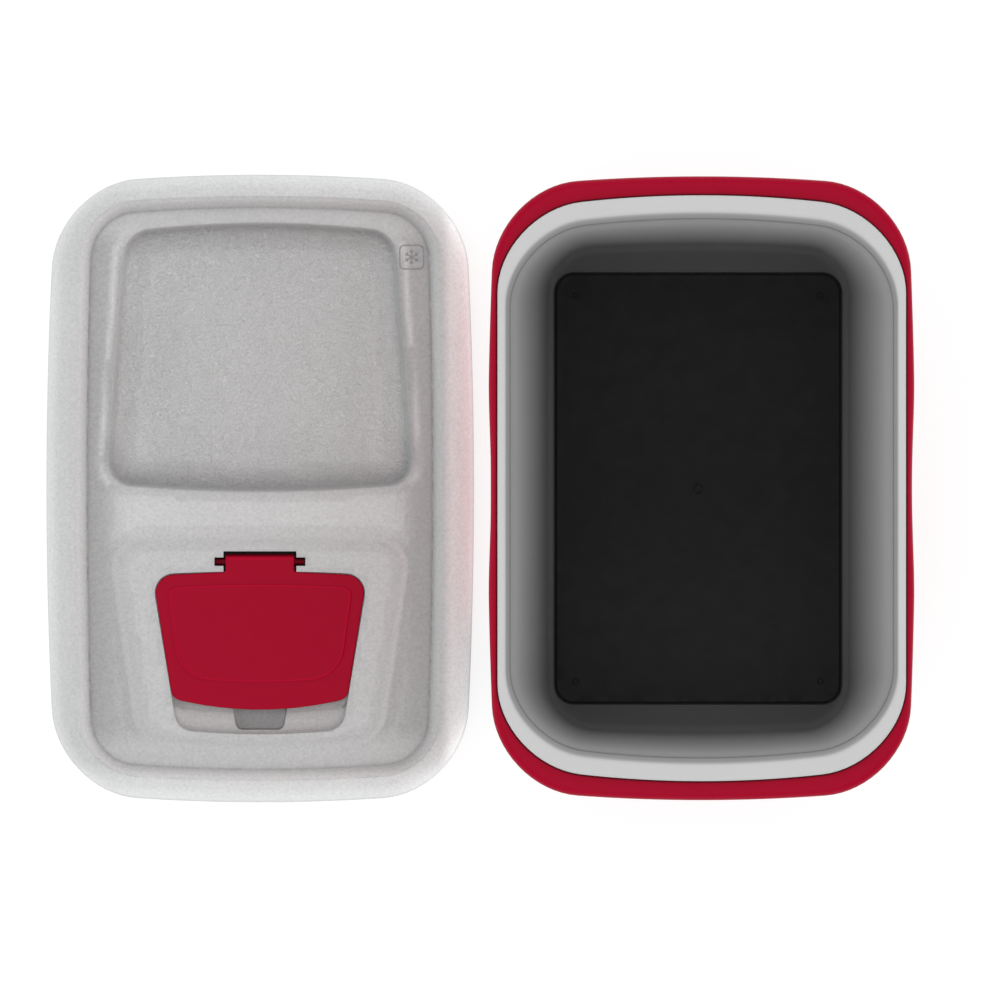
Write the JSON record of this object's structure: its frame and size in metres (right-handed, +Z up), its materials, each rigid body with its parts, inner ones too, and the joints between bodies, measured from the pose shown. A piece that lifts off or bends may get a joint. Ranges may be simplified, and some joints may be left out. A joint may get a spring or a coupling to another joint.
{
  "type": "wheeled cooler",
  "caption": "Wheeled picnic cooler, open, with its lift-off lid laid beside it; the lid has a hinged hatch, the body a tow handle.",
  "frame": {"origin": "on the ground, at the centre of the layout of the open body and the lid lying beside it", "axes": "+X from the lid to the body, +Y along both, from the wheel end to the tow handle's end, +Z up"},
  "size_m": [0.7466, 0.545, 0.372],
  "materials": {
    "shell_red": "satin",
    "hatch_red": "satin",
    "liner_grey": "satin",
    "lid_grey": "matte",
    "lid_liner_grey": "satin",
    "body_foam": "matte",
    "lid_foam": "matte",
    "plug_black": "matte",
    "foot_rubber": "matte",
    "zinc_steel": "satin",
    "wheel_black": "satin",
    "tyre_rubber": "matte",
    "hub_cap_grey": "satin",
    "bracket_black": "matte",
    "handle_black": "satin",
    "grip_rubber": "matte"
  },
  "bodies": {
    "cooler_body": {"outer_shell": "shell_red", "inner_liner": "liner_grey", "body_insulation": "body_foam", "foam_plug": "plug_black", "axle": "zinc_steel", "wheel_retainer_left": "zinc_steel", "wheel_retainer_right": "zinc_steel", "foot_left": "foot_rubber", "foot_right": "foot_rubber", "handle_bracket_left": "bracket_black", "handle_bracket_right": "bracket_black", "handle_pin_left": "zinc_steel", "handle_pin_right": "zinc_steel", "bracket_screw_left_upper": "zinc_steel", "bracket_screw_left_lower": "zinc_steel", "bracket_screw_right_upper": "zinc_steel", "bracket_screw_right_lower": "zinc_steel"},
    "wheel_left": {"wheel_rim_left": "wheel_black", "tyre_left": "tyre_rubber", "hub_cap_left": "hub_cap_grey"},
    "wheel_right": {"wheel_rim_right": "wheel_black", "tyre_right": "tyre_rubber", "hub_cap_right": "hub_cap_grey"},
    "tow_handle": {"tow_bail": "handle_black", "tow_grip": "grip_rubber"},
    "lid": {"lid_shell": "lid_grey", "lid_liner": "lid_liner_grey", "lid_insulation": "lid_foam"},
    "hatch": {"hatch_door": "hatch_red"}
  },
  "joints": [
    {"name": "wheel_left_spin", "type": "hinge", "parent": "cooler_body", "child": "wheel_left", "pos_m": [0.1922, -0.162, 0.05], "axis": [1, 0, 0], "continuous": true},
    {"name": "wheel_right_spin", "type": "hinge", "parent": "cooler_body", "child": "wheel_right", "pos_m": [0.1922, -0.162, 0.05], "axis": [1, 0, 0], "continuous": true},
    {"name": "tow_handle_swing", "type": "hinge", "parent": "cooler_body", "child": "tow_handle", "pos_m": [0.1922, 0.2515, 0.285], "axis": [1, 0, 0], "range_deg": [0, 140]},
    {"name": "lid_lift", "type": "slide", "parent": "cooler_body", "child": "lid", "axis": [0, 0, 1], "range_m": [0, 0.42]},
    {"name": "hatch_hinge", "type": "hinge", "parent": "lid", "child": "hatch", "pos_m": [-0.1876, -0.0635, 0.0391], "axis": [-1, 0, 0], "range_deg": [0, 98]}
  ]
}
